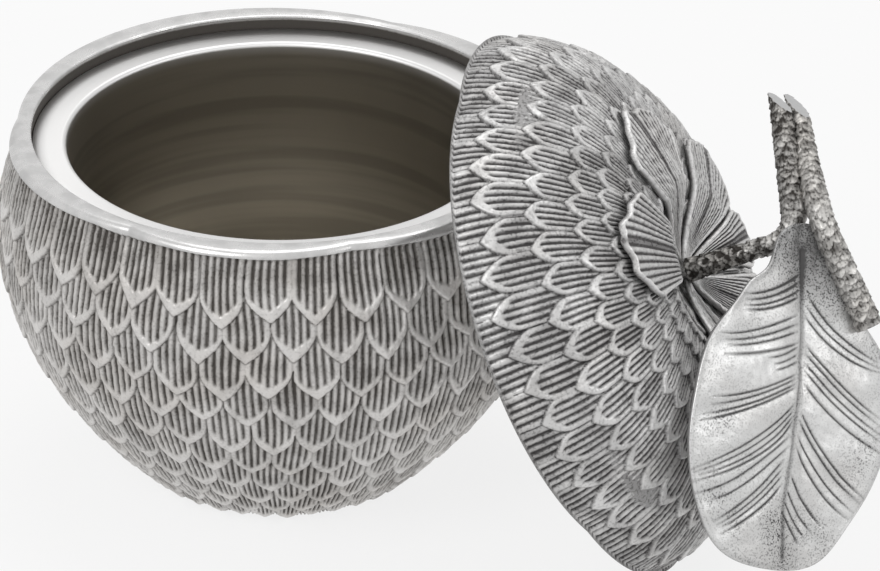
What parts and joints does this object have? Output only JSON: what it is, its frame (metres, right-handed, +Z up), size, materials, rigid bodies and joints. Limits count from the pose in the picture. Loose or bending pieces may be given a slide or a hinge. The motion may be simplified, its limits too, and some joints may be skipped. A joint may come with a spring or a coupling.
{
  "type": "apple-shaped ice bucket",
  "caption": "Apple-shaped cast metal ice bucket with a bright steel liner; its domed lid, with calyx, stem and leaf, is off and leans against the body.",
  "frame": {"origin": "middle of the base pad's underside, on the table", "axes": "+Z up along the bucket's axis, +Y away from the viewer, +X to the leaning lid's side"},
  "size_m": [0.3406, 0.2662, 0.1915],
  "materials": {
    "cast_silver": "antiqued satin",
    "calyx_silver": "satin",
    "stem_silver": "antiqued",
    "leaf_silver": "brushed satin",
    "liner_steel": "polished",
    "steel_dark": "brushed",
    "screw_steel": "plain",
    "felt": "felt",
    "foam": "foam",
    "gasket": "matte"
  },
  "bodies": {
    "bucket": {"outer_shell": "cast_silver", "base_plate": "steel_dark", "base_screws": "screw_steel", "base_pad": "felt", "insulation_jacket": "foam", "liner": "liner_steel", "liner_gasket": "gasket"},
    "lid": {"lid_shell": "cast_silver", "lid_plate": "liner_steel", "lid_seal": "gasket", "lid_insulation": "foam", "calyx": "calyx_silver", "stem": "stem_silver", "branch": "stem_silver", "leaf": "leaf_silver", "stem_bolt": "screw_steel", "stem_washer": "screw_steel"}
  },
  "joints": [
    {"name": "lid_lift", "type": "slide", "parent": "bucket", "child": "lid", "axis": [0, 0, 1], "range_m": [0, 0.18]}
  ]
}
